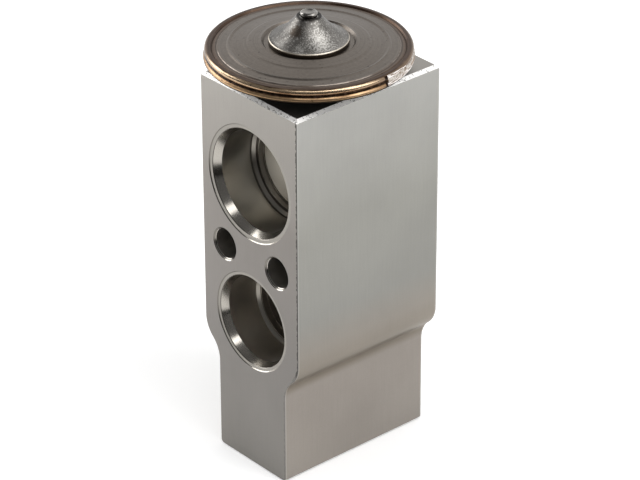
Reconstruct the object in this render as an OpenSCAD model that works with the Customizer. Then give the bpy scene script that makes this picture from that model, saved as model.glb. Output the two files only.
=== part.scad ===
// Block-type expansion valve: an extruded and machined block with two
// refrigerant passages, and a welded power head screwed into its top.
//
// All lengths are in millimetres. The origin is on the valve axis, at the
// underside of the foot. +Z is up and the evaporator face looks along -Y.
// The valve is drawn closed, with the adjusting screw at its highest setting.

/* [Block] */
// Width of the block across its port faces
body_width = 30; // [29:0.5:36]
// Depth from the evaporator face to the rear face
body_depth = 38.5; // [37:0.5:46]
// Height from the underside of the foot to the top face
body_height = 87.2; // [86.4:0.2:96]
// Distance from the valve axis to the evaporator face
axis_to_front = 16.25; // [15.75:0.25:19]
// Width of the foot
foot_width = 21.3; // [20:0.1:24]
// Height of the foot's straight flanks
foot_height = 20.5; // [16:0.5:22]
// Rise of the curved shoulders above the foot
shoulder_rise = 9.5; // [8:0.5:12]
// Rounding of the foot's lower edges
foot_round = 0.8; // [0.3:0.1:1.5]
// Chamfer round the top face
top_chamfer = 0.7; // [0.3:0.1:1.2]

/* [Port form] */
// Depth of the spot face round the mouth of every port
spot_face_depth = 0.2; // [0.1:0.05:0.4]
// Broken edge between the spot face and the conical lead-in
mouth_edge = 0.15; // [0.05:0.05:0.25]
// Depth at which the conical lead-in meets the tube bore
lead_in_depth = 1.95; // [1.4:0.05:2.6]
// Broken corner in the floor of every tube bore
floor_corner = 0.6; // [0.2:0.05:0.8]
// Length of the step that the end of a tube stops against
tube_stop_length = 1.4; // [0.6:0.1:2]

/* [Suction passage] */
// Height of the suction passage
suction_z = 67; // [66.5:0.25:68]
// Spot face diameter of the suction ports
suction_face_d = 26.1; // [25.2:0.1:27]
// Diameter of the suction ports' lead-in at its mouth
suction_mouth_d = 24; // [23:0.1:25]
// Tube bore diameter of the suction ports
suction_bore_d = 22.2; // [20.8:0.2:22.8]
// Depth of the suction tube bores below each face
suction_bore_depth = 10.5; // [8:0.25:11]
// Tube stop diameter of the suction ports
suction_stop_d = 19.1; // [18.5:0.1:20.5]
// Diameter of the passage between the two suction ports
suction_passage_d = 18.4; // [16:0.2:18.8]

/* [Outlet port] */
// Height of the outlet port to the evaporator
outlet_z = 34.5; // [34:0.25:35.5]
// Spot face diameter of the outlet port
outlet_face_d = 22.4; // [21.8:0.1:23]
// Diameter of the outlet port's lead-in at its mouth
outlet_mouth_d = 20.6; // [19.8:0.1:21.2]
// Tube bore diameter of the outlet port
outlet_bore_d = 19.2; // [18:0.2:19.6]
// Depth of the outlet tube bore below the face
outlet_bore_depth = 10; // [8:0.25:10.5]
// Tube stop diameter of the outlet port
outlet_stop_d = 17.1; // [14:0.1:17.6]
// Diameter of the passage behind the outlet port
outlet_passage_d = 10.4; // [8.4:0.2:11]
// Length of the outlet passage behind the valve axis
outlet_passage_past = 3.4; // [3:0.2:5]

/* [Inlet port] */
// Height of the liquid inlet port in the rear face
inlet_z = 19; // [18:0.25:19.5]
// Spot face diameter of the inlet port
inlet_face_d = 16.2; // [15.8:0.1:17]
// Diameter of the inlet port's lead-in at its mouth
inlet_mouth_d = 14.7; // [14:0.1:15.1]
// Tube bore diameter of the inlet port
inlet_bore_d = 13.4; // [12.6:0.2:13.8]
// Depth of the inlet tube bore below the face
inlet_bore_depth = 9.5; // [7:0.25:10]
// Tube stop diameter of the inlet port
inlet_stop_d = 11.4; // [8:0.2:11.8]
// Diameter of the passage from the inlet port to the valve chamber
inlet_passage_d = 6; // [4:0.2:6.4]

/* [Bolt holes] */
// Clearance hole for an M6 bolt
bolt_hole_d = 6.6; // [6.2:0.1:6.8]
// Spacing of the two bolt holes
bolt_spacing = 16.6; // [16.4:0.2:18]
// Height of the bolt holes
bolt_z = 49.6; // [49:0.2:50]
// Countersink diameter at each end of a bolt hole
bolt_countersink_d = 7.5; // [7:0.1:8.2]

/* [Power head] */
// Diameter over the lower rim of the power head
rim_d = 43.1; // [41.5:0.1:46]
// How far the upper rim stands inside the lower rim
rim_inset = 0.25; // [0:0.05:0.5]
// Clear height between the block and the rim
head_gap = 3.55; // [3:0.05:4.5]
// Thickness of the lower case's flange
lower_flange_t = 1.25; // [1:0.05:1.6]
// Thickness of the upper case's flange
upper_flange_t = 1.35; // [1.1:0.05:1.7]
// Step down from the upper rim to the edge of the dome
rim_step = 0.25; // [0.1:0.05:0.4]
// Thickness of the upper case over the charge space
upper_case_t = 0.9; // [0.7:0.05:1]
// Rise of the dome from its edge to the cone's seat
dome_rise = 1.4; // [1.2:0.1:2.2]
// Depth of the cone's seat below the dome
cone_seat_depth = 0.55; // [0.3:0.05:0.7]
// Thread diameter of the neck
neck_d = 19.8; // [19.4:0.1:20.4]
// Length of the neck below the block's top face
neck_length = 6; // [5:0.2:6.6]
// Bore of the neck
neck_bore_d = 13.8; // [12.6:0.2:14.6]
// Diameter of the shoulder that seats on the block
head_shoulder_d = 27.2; // [26.6:0.1:28.4]
// Section diameter of the seal ring round the neck
head_seal_section = 1.6; // [1.4:0.1:1.8]
// Base diameter of the charge cone
cone_base_d = 16.5; // [15:0.1:17.4]
// Top diameter of the charge cone
cone_top_d = 5; // [4.6:0.1:6]
// Height of the charge cone above its seat
cone_height = 5.85; // [4.6:0.05:7]
// Height of the upright wall at the foot of the cone
cone_wall_height = 0.85; // [0.6:0.05:1.2]
// Diameter of the sealing pin's head
seal_pin_head_d = 3.4; // [2.8:0.1:3.8]
// Height of the sealing pin's head above the cone
seal_pin_rise = 1; // [0.5:0.1:1.5]
// Diameter of the charging hole in the cone
charge_hole_d = 2.1; // [1.6:0.1:2.4]
// Diameter of the hub under the cone
cone_hub_d = 5.4; // [4:0.2:7]

/* [Diaphragm] */
// Thickness of the diaphragm
diaphragm_t = 0.2; // [0.15:0.01:0.3]
// Height of the diaphragm's corrugations
corrugation_height = 0.22; // [0.1:0.02:0.26]
// Number of corrugations
corrugations = 2; // [1:1:3]
// Diameter of the pad under the diaphragm
pad_d = 22; // [19:0.5:23]
// Thickness of the pad's disc
pad_t = 1.3; // [0.9:0.1:1.5]
// Diameter of the pad's hub
pad_hub_d = 9.2; // [7.6:0.2:10]
// Depth of the rod's socket in the hub
rod_socket_depth = 4; // [3:0.25:5]
// Length of the pad's hub under its disc
pad_hub_length = 6; // [5:0.25:6.5]

/* [Rod and pin] */
// Diameter of the sensing rod
rod_d = 5.6; // [5:0.1:5.8]
// Length of the rod's guide below its seal pocket
rod_guide_length = 7.6; // [6:0.2:9]
// Diameter of the push pin
push_pin_d = 2; // [1.6:0.1:2.2]
// Depth of the push pin's socket in the rod
pin_socket_depth = 4; // [3:0.25:6]
// Height of the floor of the rod's seal pocket
seal_pocket_z = 53.6; // [53.2:0.1:54.2]
// Section diameter of the rod's seal ring
rod_seal_section = 1.7; // [1.5:0.05:1.8]
// Thickness of the washer on the rod's seal ring
seal_washer_t = 0.6; // [0.4:0.1:0.8]
// Sheet thickness of the push-in retainer
retainer_t = 0.35; // [0.25:0.05:0.45]
// Height of the retainer's turned-up teeth
retainer_height = 1.1; // [0.8:0.1:1.3]
// Number of teeth on the retainer
retainer_teeth = 8; // [6:1:12]
// Gas hole round the rod above the suction passage
gas_hole_d = 9.6; // [8:0.2:10]

/* [Valve] */
// Height of the valve seat
seat_z = 25.5; // [25.2:0.1:26]
// Diameter of the orifice
orifice_d = 3.2; // [2.9:0.1:3.4]
// Length of the orifice above the seat
orifice_length = 2.9; // [2:0.1:3.2]
// Diameter of the ball
ball_d = 5; // [4.8:0.1:5.4]
// Diameter of the valve chamber
chamber_d = 11.2; // [11.1:0.1:11.8]
// Lift of the valve when it is fully open
valve_lift = 0.8; // [0.4:0.1:1]
// Diameter of the cradle's cup
cradle_cup_d = 6.6; // [6:0.1:7.2]
// Thickness of the cradle's flange
cradle_flange_t = 1.3; // [1:0.1:1.6]
// Length of the cradle's boss inside the spring
cradle_boss_length = 2.5; // [1.5:0.1:3]
// Thickness of the damper ring's sheet
damper_t = 0.25; // [0.2:0.01:0.3]
// Length of the damper ring's legs
damper_leg_length = 5.4; // [4:0.1:5.8]
// Number of legs on the damper ring
damper_legs = 4; // [3:1:5]

/* [Spring] */
// Outer diameter of the spring
spring_d = 9.5; // [8.8:0.1:9.6]
// Wire diameter of the spring
wire_d = 1.2; // [1:0.05:1.3]
// Number of active turns between the closed ends
active_turns = 4; // [3:0.5:4.5]

/* [Adjusting screw] */
// Thread diameter of the adjusting screw
screw_d = 14; // [13.8:0.1:14.6]
// Length of the screw's thread
screw_thread_length = 2.6; // [2:0.1:3]
// Diameter of the smooth seal land above the thread
screw_land_d = 13; // [12.6:0.1:13.2]
// Depth of the screw below the underside of the foot
screw_recess = 1.6; // [1.5:0.1:2]
// Overall length of the screw
screw_length = 9; // [8.8:0.1:9.2]
// Depth of the spring's pocket in the screw
spring_pocket_depth = 2.3; // [1.5:0.1:2.4]
// Width across the flats of the hexagon socket
hex_width = 6; // [5:0.5:7]
// Depth of the hexagon socket
hex_depth = 3.8; // [2.5:0.1:4]
// Section diameter of the screw's seal ring
screw_seal_section = 1.45; // [1.3:0.05:1.5]
// How far the screw can be backed out
screw_travel = 1.5; // [1:0.1:1.5]

/* [Fits] */
// Radial clearance of parts that slide or turn in one another
running_clearance = 0.05; // [0.03:0.01:0.08]
// Radial clearance of parts that are pushed or screwed together
assembly_clearance = 0.03; // [0.02:0.01:0.05]
// Gap between the ball and its seat, and the pad and its diaphragm
contact_gap = 0.02; // [0.01:0.01:0.04]

/* [Hidden] */
$fn = 96;

// Overlap of a cutter past the face that it opens
over = 1;
// Half angle of a twist drill's point
drill_half_angle = 59;

// Block
front_y = -axis_to_front;
rear_y = body_depth - axis_to_front;
shoulder_step = (body_width - foot_width) / 2;
shoulder_z = foot_height + shoulder_rise;
// Radius of the shoulder's concave arc, to a thousandth
concave_r = round(250 * (shoulder_step ^ 2 + shoulder_rise ^ 2) / shoulder_step) / 1000;
// The convex arc is a trace flatter, so that it crosses the concave one
convex_r = concave_r + 0.01;

// Gap between the spring and the walls beside it
spring_side_gap = 0.2;

// Adjusting screw and its bore, from the underside of the foot
screw_top = screw_recess + screw_length;
screw_thread_r = screw_d / 2 - running_clearance;
screw_land_r = screw_land_d / 2;
thread_mouth = 0.5;
thread_bore_depth = screw_recess + screw_thread_length + 0.2;
seal_bore_r = screw_land_r + running_clearance;
seal_bore_lead = 0.3;
seal_groove_width = screw_seal_section + 0.25;
seal_groove_z = thread_bore_depth + screw_travel + seal_bore_lead;
seal_groove_r = seal_bore_r - screw_seal_section - running_clearance / 2;
chamber_shoulder_z = screw_top + 0.4;
spring_pocket_r = spring_d / 2 + spring_side_gap;

// Valve seat, ball and cradle
ball_r = ball_d / 2;
orifice_r = orifice_d / 2;
chamber_r = chamber_d / 2;
seat_cone_width = 1;
seat_mouth_r = orifice_r + seat_cone_width;
seat_cone_z = seat_z - seat_cone_width;
chamber_top = seat_cone_z - (chamber_r - seat_mouth_r) / tan(drill_half_angle);
well_r = orifice_r + 1.4;
well_z = seat_z + orifice_length;
ball_z = seat_z + orifice_r - ball_r * sqrt(2) - contact_gap;
cradle_cup_floor = 0.5;
cradle_rim_z = ball_z - 0.35 * ball_r;
cradle_top = ball_z - ball_r - cradle_cup_floor;
cradle_flange_z = cradle_top - cradle_flange_t;
cradle_flange_r = spring_d / 2;
cradle_boss_r = spring_d / 2 - wire_d - spring_side_gap;

// Spring, between the screw's pocket and the damper ring
spring_bottom = screw_top - spring_pocket_depth;
spring_top = cradle_flange_z - damper_t;

// Rod, pin and the rod's seal
rod_r = rod_d / 2;
pin_r = push_pin_d / 2;
rod_bore_r = rod_r + running_clearance;
pin_bore_r = pin_r + running_clearance;
rod_bore_floor = seal_pocket_z - rod_guide_length;
rod_bottom = rod_bore_floor + valve_lift + 0.4;
seal_pocket_r = rod_bore_r + rod_seal_section + 0.05;
washer_z = seal_pocket_z + rod_seal_section;
retainer_z = washer_z + seal_washer_t;

// Power head
pocket_depth = neck_length + 0.5;
pocket_r = neck_d / 2 + assembly_clearance;
head_seal_gap = 0.35;
head_seal_r = neck_d / 2 + head_seal_section / 2 + head_seal_gap;
head_recess_r = head_seal_r + head_seal_section / 2 + head_seal_gap;
rim_z = body_height + head_gap;
lower_rim_top = rim_z + lower_flange_t;
upper_rim_z = lower_rim_top + diaphragm_t;
upper_rim_top = upper_rim_z + upper_flange_t;
lower_rim_r = rim_d / 2;
upper_rim_r = lower_rim_r - rim_inset;
diaphragm_r = upper_rim_r - 0.8;
dome_edge_z = upper_rim_top - rim_step;
dome_top = dome_edge_z + dome_rise;
cone_z = dome_top - cone_seat_depth;
case_wall = 1.3;
bowl_floor = body_height + case_wall;
weld_flange_width = 5;
bowl_r = lower_rim_r - weld_flange_width;
shoulder_bend_z = body_height + 0.9;
flange_root_r = bowl_r + case_wall;
pad_top = lower_rim_top - contact_gap;
pad_underside = pad_top - pad_t;
rod_top = pad_underside - pad_hub_length + rod_socket_depth;
cone_base_r = cone_base_d / 2;
cone_top_z = cone_z + cone_height;
cone_recess_depth = 0.35;
// Outer radius of each ring pressed into the upper case, from the rim inwards
rim_groove_r = upper_rim_r - 1.5;
outer_ring_r = upper_rim_r - 2.5;
middle_ring_r = outer_ring_r - 2.35;
inner_ring_r = middle_ring_r - 4.1;
seat_ring_r = cone_base_r + 1.45;
// Inner radius of the charge space's flat rim
charge_space_r = outer_ring_r - 1;

// Points along the arc from p to q that bulges by the sagitta s to its left, without p
function arc_to(p, q, s, n = 10) =
    let (
        chord = norm(q - p),
        r = (chord ^ 2 / 4 + s ^ 2) / (2 * abs(s)),
        along = (q - p) / chord,
        left = [-along[1], along[0]] * sign(s),
        centre = (p + q) / 2 - left * (r - abs(s)),
        half = asin(chord / 2 / r)
    )
    [for (i = [1 : n]) let (a = half * (2 * i / n - 1))
        centre + r * (along * sin(a) + left * cos(a))];

// Right half of the block's front view, up to height top
module half_front(top) {
    foot_r = foot_width / 2;
    mid_z = foot_height + shoulder_rise / 2;
    convex_x = body_width / 2 - convex_r;
    // Foot with its lower edge rounded
    translate([0, foot_round]) square([foot_r, foot_height - foot_round]);
    square([foot_r - foot_round, foot_height]);
    translate([foot_r - foot_round, foot_round]) circle(foot_round);
    // Shoulder, concave below and convex above
    difference() {
        translate([0, foot_height]) square([body_width / 2, shoulder_rise]);
        translate([foot_r + concave_r, foot_height]) circle(concave_r);
        difference() {
            translate([convex_x, mid_z]) square([convex_r + over, shoulder_z - mid_z]);
            translate([convex_x, shoulder_z]) circle(convex_r);
        }
    }
    polygon([
        [0, shoulder_z], [body_width / 2, shoulder_z],
        [body_width / 2, top - top_chamfer], [body_width / 2 - top_chamfer, top], [0, top]
    ]);
}

module front_view() {
    half_front(body_height);
    mirror([1, 0]) half_front(body_height);
}

module side_view() {
    polygon([
        [front_y, -over], [rear_y, -over], [rear_y, body_height - top_chamfer],
        [rear_y - top_chamfer, body_height], [front_y + top_chamfer, body_height],
        [front_y, body_height - top_chamfer]
    ]);
}

// Cutter for a tube port, with its mouth at z = 0 and its depth along +Z
module port_cutter(face_d, mouth_d, bore_d, bore_depth, stop_d, passage_d, length) {
    point = passage_d / 2 / tan(drill_half_angle);
    rotate_extrude() polygon([
        [0, -over],
        [face_d / 2 + over, -over],
        [face_d / 2 - spot_face_depth, spot_face_depth],
        [mouth_d / 2 + mouth_edge, spot_face_depth],
        [mouth_d / 2, spot_face_depth + mouth_edge],
        [bore_d / 2, lead_in_depth],
        [bore_d / 2, bore_depth - floor_corner],
        [bore_d / 2 - floor_corner, bore_depth],
        [stop_d / 2, bore_depth],
        [stop_d / 2, bore_depth + tube_stop_length],
        [passage_d / 2, bore_depth + tube_stop_length],
        [passage_d / 2, length],
        [0, length + point]
    ]);
}

module suction_cutter() {
    port_cutter(
        suction_face_d, suction_mouth_d, suction_bore_d, suction_bore_depth,
        suction_stop_d, suction_passage_d, body_depth / 2
    );
}

module bolt_cutter() {
    sink = (bolt_countersink_d - bolt_hole_d) / 2;
    rotate_extrude() polygon([
        [0, -over],
        [bolt_countersink_d / 2 + over, -over],
        [bolt_hole_d / 2, sink],
        [bolt_hole_d / 2, body_depth - sink],
        [bolt_countersink_d / 2 + over, body_depth + over],
        [0, body_depth + over]
    ]);
}

// Bore from the underside up to the outlet passage: screw thread, seal bore, chamber, seat, orifice
module valve_bore_cutter() {
    thread_r = screw_d / 2;
    rotate_extrude() polygon([
        [0, -over],
        [thread_r + thread_mouth + over, -over],
        [thread_r, thread_mouth],
        [thread_r, thread_bore_depth],
        [seal_bore_r, thread_bore_depth + seal_bore_lead],
        [seal_bore_r, chamber_shoulder_z],
        [chamber_r, chamber_shoulder_z],
        [chamber_r, chamber_top],
        [seat_mouth_r, seat_cone_z],
        [orifice_r, seat_z],
        [orifice_r, well_z],
        [well_r, well_z],
        [well_r, outlet_z],
        [0, outlet_z]
    ]);
}

// Bore for the pin, the rod and the rod's seal, between the outlet and suction passages
module rod_bore_cutter() {
    rotate_extrude() polygon([
        [0, outlet_z],
        [pin_bore_r, outlet_z],
        [pin_bore_r, rod_bore_floor],
        [rod_bore_r, rod_bore_floor],
        [rod_bore_r, seal_pocket_z],
        [seal_pocket_r, seal_pocket_z],
        [seal_pocket_r, suction_z],
        [0, suction_z]
    ]);
}

// Gas hole, threaded pocket and seal recess for the power head
module head_pocket_cutter() {
    pocket_floor = body_height - pocket_depth;
    rotate_extrude() polygon([
        [0, suction_z],
        [gas_hole_d / 2, suction_z],
        [gas_hole_d / 2, pocket_floor],
        [pocket_r, pocket_floor],
        [pocket_r, body_height - head_seal_section],
        [head_recess_r, body_height - head_seal_section],
        [head_recess_r, body_height + over],
        [0, body_height + over]
    ]);
}

// The block before it is drilled
module blank() {
    intersection() {
        translate([0, rear_y, 0]) rotate([90, 0, 0]) linear_extrude(body_depth) front_view();
        translate([-body_width, 0, 0]) rotate([90, 0, 90]) linear_extrude(2 * body_width) side_view();
    }
}

module port_cutters() {
    translate([0, front_y, suction_z]) rotate([-90, 0, 0]) suction_cutter();
    translate([0, rear_y, suction_z]) rotate([90, 0, 0]) suction_cutter();
    translate([0, front_y, outlet_z]) rotate([-90, 0, 0]) port_cutter(
        outlet_face_d, outlet_mouth_d, outlet_bore_d, outlet_bore_depth,
        outlet_stop_d, outlet_passage_d, axis_to_front + outlet_passage_past
    );
    translate([0, rear_y, inlet_z]) rotate([90, 0, 0]) port_cutter(
        inlet_face_d, inlet_mouth_d, inlet_bore_d, inlet_bore_depth,
        inlet_stop_d, inlet_passage_d, rear_y
    );
}

module axial_cutters() {
    valve_bore_cutter();
    rod_bore_cutter();
    head_pocket_cutter();
}

module bolt_cutters() {
    for (side = [-1, 1])
        translate([side * bolt_spacing / 2, front_y, bolt_z]) rotate([-90, 0, 0]) bolt_cutter();
}

module valve_body() {
    color("#b9b8b2") difference() {
        blank();
        union() {
            port_cutters();
            axial_cutters();
        }
        bolt_cutters();
    }
}

// Sections through the power head, drawn as radius and height

module lower_case_section() {
    neck_r = neck_d / 2;
    neck_bottom = body_height - neck_length;
    edge_r = lower_flange_t / 2;
    polygon([
        [neck_bore_d / 2, neck_bottom],
        [neck_r - 0.6, neck_bottom],
        [neck_r, neck_bottom + 0.6],
        [neck_r, body_height],
        [head_shoulder_d / 2, body_height],
        [head_shoulder_d / 2, shoulder_bend_z],
        [flange_root_r, rim_z],
        [lower_rim_r - edge_r, rim_z],
        [lower_rim_r - edge_r, lower_rim_top],
        [bowl_r, lower_rim_top],
        [head_shoulder_d / 2 - 0.8, bowl_floor],
        [neck_bore_d / 2, bowl_floor]
    ]);
    translate([lower_rim_r - edge_r, rim_z + edge_r]) circle(edge_r);
}

module upper_case_section() {
    edge_r = upper_flange_t / 2;
    dome_slope = dome_rise / (outer_ring_r - seat_ring_r);
    middle_ring_z = dome_edge_z + dome_slope * (outer_ring_r - middle_ring_r);
    inner_ring_z = dome_edge_z + dome_slope * (outer_ring_r - inner_ring_r);
    ring = 0.14;
    hole_r = cone_hub_d / 2 + assembly_clearance;
    under = cone_z - upper_case_t;
    polygon([
        [hole_r, under],
        [seat_ring_r, under],
        [charge_space_r, upper_rim_z + corrugation_height + 0.1],
        [charge_space_r, upper_rim_z],
        [upper_rim_r - edge_r, upper_rim_z],
        [upper_rim_r - edge_r, upper_rim_top],
        // Groove inside the welded edge
        [rim_groove_r + 0.3, upper_rim_top],
        [rim_groove_r, dome_edge_z - ring],
        [rim_groove_r - 0.3, dome_edge_z],
        // Raised ring where the dome starts
        [outer_ring_r, dome_edge_z],
        [outer_ring_r - 0.15, dome_edge_z + ring],
        [outer_ring_r - 0.6, dome_edge_z + ring],
        // Dome with two faint pressed rings
        [middle_ring_r + 0.4, middle_ring_z - ring / 2],
        [middle_ring_r, middle_ring_z + ring],
        [middle_ring_r - 0.5, middle_ring_z],
        [inner_ring_r + 0.4, inner_ring_z - ring],
        [inner_ring_r, inner_ring_z],
        // Edge of the sunken seat round the cone
        [seat_ring_r + 0.5, dome_top - ring],
        [seat_ring_r, dome_top],
        [seat_ring_r - 0.5, cone_z],
        [hole_r, cone_z]
    ]);
    translate([upper_rim_r - edge_r, upper_rim_z + edge_r]) circle(edge_r);
}

module diaphragm_section() {
    steps = 12 * corrugations;
    inner = pad_d / 2 + 0.5;
    outer = charge_space_r - 0.6;
    wave = [for (i = [0 : steps])
        [
            inner + (outer - inner) * i / steps,
            corrugation_height * (1 - cos(360 * corrugations * i / steps)) / 2
        ]
    ];
    translate([0, lower_rim_top]) polygon(concat(
        [[0, 0]],
        wave,
        [[diaphragm_r, 0], [diaphragm_r, diaphragm_t]],
        [for (i = [steps : -1 : 0]) wave[i] + [0, diaphragm_t]],
        [[0, diaphragm_t]]
    ));
}

module upper_case() {
    color("#6f6862") rotate_extrude() upper_case_section();
}

module lower_case() {
    color("#8a7a66") rotate_extrude() lower_case_section();
}

// Weld bead that fills the groove between the two rims and holds the diaphragm's edge
module rim_weld() {
    bead_r = 0.45;
    color("#7d5f45") rotate_extrude() difference() {
        translate([upper_rim_r - bead_r + 0.04, lower_rim_top + diaphragm_t / 2]) circle(bead_r);
        upper_case_section();
        lower_case_section();
        diaphragm_section();
    }
}

module diaphragm() {
    color("#a8a8a6") rotate_extrude() diaphragm_section();
}

module diaphragm_pad() {
    hub_bottom = pad_underside - pad_hub_length;
    socket_r = rod_r + assembly_clearance;
    edge = 0.4;
    color("#9c9a96") rotate_extrude() polygon([
        [socket_r, hub_bottom],
        [pad_hub_d / 2 - edge, hub_bottom],
        [pad_hub_d / 2, hub_bottom + edge],
        [pad_hub_d / 2, pad_underside],
        [pad_d / 2 - edge, pad_underside],
        [pad_d / 2, pad_underside + edge],
        [pad_d / 2, pad_top - edge / 2],
        [pad_d / 2 - edge, pad_top],
        [0, pad_top],
        [0, rod_top],
        [socket_r, rod_top]
    ]);
}

module charge_cone() {
    hole_r = charge_hole_d / 2;
    hub_r = cone_hub_d / 2;
    foot_edge = 0.15;
    base_edge = 0.25;
    wall_top = cone_z + cone_wall_height;
    top_r = cone_top_d / 2;
    recess_r = seal_pin_head_d / 2 + 0.3;
    flank_bulge = 0.35;
    flank_start = [cone_base_r - 0.55, wall_top + base_edge];
    color("#9a9893") rotate_extrude() polygon(concat(
        [
            [hole_r, cone_z - upper_case_t],
            [hub_r, cone_z - upper_case_t],
            [hub_r, cone_z],
            [cone_base_r - foot_edge, cone_z],
            [cone_base_r, cone_z + foot_edge],
            [cone_base_r, wall_top],
            [cone_base_r - foot_edge, wall_top + foot_edge],
            flank_start
        ],
        arc_to(flank_start, [top_r, cone_top_z], flank_bulge),
        [
            [recess_r, cone_top_z],
            [recess_r, cone_top_z - cone_recess_depth],
            [hole_r, cone_top_z - cone_recess_depth]
        ]
    ));
}

// Pin that is welded into the charging hole after the head is filled
module sealing_pin() {
    floor_z = cone_top_z - cone_recess_depth;
    top = cone_top_z + seal_pin_rise;
    stem_length = 3;
    dimple_r = 1.9;
    dimple_depth = 0.4;
    head_r = seal_pin_head_d / 2;
    stem_r = charge_hole_d / 2;
    color("#8f8d8a") difference() {
        union() {
            translate([0, 0, floor_z - stem_length]) cylinder(h = stem_length, r = stem_r);
            rotate_extrude() polygon([
                [0, floor_z], [head_r, floor_z], [head_r, top - 0.45],
                [head_r - 0.25, top - 0.1], [head_r - 0.6, top], [0, top]
            ]);
        }
        translate([0, 0, top + dimple_r - dimple_depth]) sphere(r = dimple_r);
    }
}

// Seal ring of round section, centred on radius r and height z
module seal_ring(r, z, section) {
    color("#26282a") translate([0, 0, z]) rotate_extrude() translate([r, 0]) circle(section / 2);
}

module head_seal() {
    seal_ring(head_seal_r, body_height - head_seal_section / 2, head_seal_section);
}

module sensing_rod() {
    edge = 0.35;
    color("#c2c2be") rotate_extrude() polygon([
        [pin_r, rod_bottom],
        [rod_r - edge, rod_bottom],
        [rod_r, rod_bottom + edge],
        [rod_r, rod_top - edge],
        [rod_r - edge, rod_top],
        [0, rod_top],
        [0, rod_bottom + pin_socket_depth],
        [pin_r, rod_bottom + pin_socket_depth]
    ]);
}

module push_pin() {
    pin_bottom = ball_z + ball_r;
    color("#a9abad") translate([0, 0, pin_bottom])
        cylinder(h = rod_bottom + pin_socket_depth - pin_bottom, r = pin_r);
}

module rod_seal() {
    seal_ring(rod_bore_r + rod_seal_section / 2, seal_pocket_z + rod_seal_section / 2, rod_seal_section);
}

module seal_washer() {
    color("#e4e2da") translate([0, 0, washer_z]) difference() {
        cylinder(h = seal_washer_t, r = seal_pocket_r - assembly_clearance);
        translate([0, 0, -over]) cylinder(h = seal_washer_t + 2 * over, r = rod_r + 0.1);
    }
}

// Push-in retainer with turned-up teeth that bite into the wall of the seal pocket
module seal_retainer() {
    rim_r = seal_pocket_r - 0.01;
    foot_r = rim_r - 0.45;
    slot = 0.7;
    color("#8e8c88") translate([0, 0, retainer_z]) difference() {
        rotate_extrude() polygon([
            [rod_r + 0.3, 0],
            [foot_r, 0],
            [rim_r, retainer_height - retainer_t],
            [rim_r, retainer_height],
            [rim_r - retainer_t, retainer_height],
            [foot_r - retainer_t / 2, retainer_t],
            [rod_r + 0.3, retainer_t]
        ]);
        for (i = [0 : retainer_teeth - 1])
            rotate([0, 0, 360 * i / retainer_teeth])
                translate([foot_r - retainer_t, -slot / 2, retainer_t])
                    cube([rim_r, slot, retainer_height]);
    }
}

module valve_ball() {
    color("#c9cbcc") translate([0, 0, ball_z]) sphere(r = ball_r);
}

module ball_cradle() {
    boss_bottom = cradle_flange_z - cradle_boss_length;
    boss_edge = 0.5;
    color("#b5a06a") difference() {
        rotate_extrude() polygon([
            [0, boss_bottom],
            [cradle_boss_r - boss_edge, boss_bottom],
            [cradle_boss_r, boss_bottom + boss_edge],
            [cradle_boss_r, cradle_flange_z],
            [cradle_flange_r, cradle_flange_z],
            [cradle_flange_r, cradle_top],
            [cradle_cup_d / 2 + 0.3, cradle_top],
            [cradle_cup_d / 2, cradle_top + 0.3],
            [cradle_cup_d / 2, cradle_rim_z],
            [0, cradle_rim_z]
        ]);
        translate([0, 0, ball_z]) sphere(r = ball_r);
    }
}

// Sprung legs that rub on the chamber's wall and keep the ball from singing
module damper_ring() {
    leg_angle = 32;
    steps = 8;
    disc_r = spring_d / 2 + spring_side_gap + damper_t;
    leg_r = disc_r - damper_t / 2;
    bow = chamber_r - running_clearance - damper_t / 2 - leg_r;
    function leg_point(i, side) = [
        leg_r + bow * sin(180 * i / steps) + side * damper_t / 2,
        cradle_flange_z - damper_leg_length * i / steps
    ];
    color("#b9bbbd") {
        difference() {
            translate([0, 0, spring_top]) cylinder(h = damper_t, r = leg_r);
            translate([0, 0, spring_top - over])
                cylinder(h = damper_t + 2 * over, r = cradle_boss_r + assembly_clearance);
        }
        for (k = [0 : damper_legs - 1])
            rotate([0, 0, 360 * (k + 0.5) / damper_legs - leg_angle / 2])
                rotate_extrude(angle = leg_angle) polygon(concat(
                    [for (i = [0 : steps]) leg_point(i, -1)],
                    [for (i = [steps : -1 : 0]) leg_point(i, 1)]
                ));
    }
}

// Coil with one closed turn at each end, both ends ground flat
module superheat_spring() {
    ring_sides = 8;
    turn_steps = 20;
    coil_r = spring_d / 2 - wire_d / 2;
    end_rise = wire_d * 1.04;
    end_z = wire_d * 0.1;
    turns = active_turns + 2;
    active_rise = spring_top - spring_bottom - 2 * (end_z + end_rise);
    rings = turns * turn_steps;
    function coil_z(t) =
        t < 1 ? end_z + end_rise * t
        : t > turns - 1 ? end_z + end_rise + active_rise + end_rise * (t - turns + 1)
        : end_z + end_rise + active_rise * (t - 1) / active_turns;
    points = [for (i = [0 : rings]) let (t = i / turn_steps, a = 360 * t)
        for (k = [0 : ring_sides - 1]) let (
            b = 360 * k / ring_sides,
            r = coil_r + wire_d / 2 * cos(b)
        )
        [r * cos(a), r * sin(a), spring_bottom + coil_z(t) + wire_d / 2 * sin(b)]
    ];
    sides = [for (i = [0 : rings - 1], k = [0 : ring_sides - 1]) let (
            a = i * ring_sides + k,
            b = i * ring_sides + (k + 1) % ring_sides
        )
        [a, b, b + ring_sides, a + ring_sides]
    ];
    first = [for (k = [ring_sides - 1 : -1 : 0]) k];
    last = [for (k = [0 : ring_sides - 1]) rings * ring_sides + k];
    color("#8b8f93") intersection() {
        polyhedron(points, concat(sides, [first], [last]));
        translate([0, 0, spring_bottom])
            cylinder(h = spring_top - spring_bottom, r = spring_d);
    }
}

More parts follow.
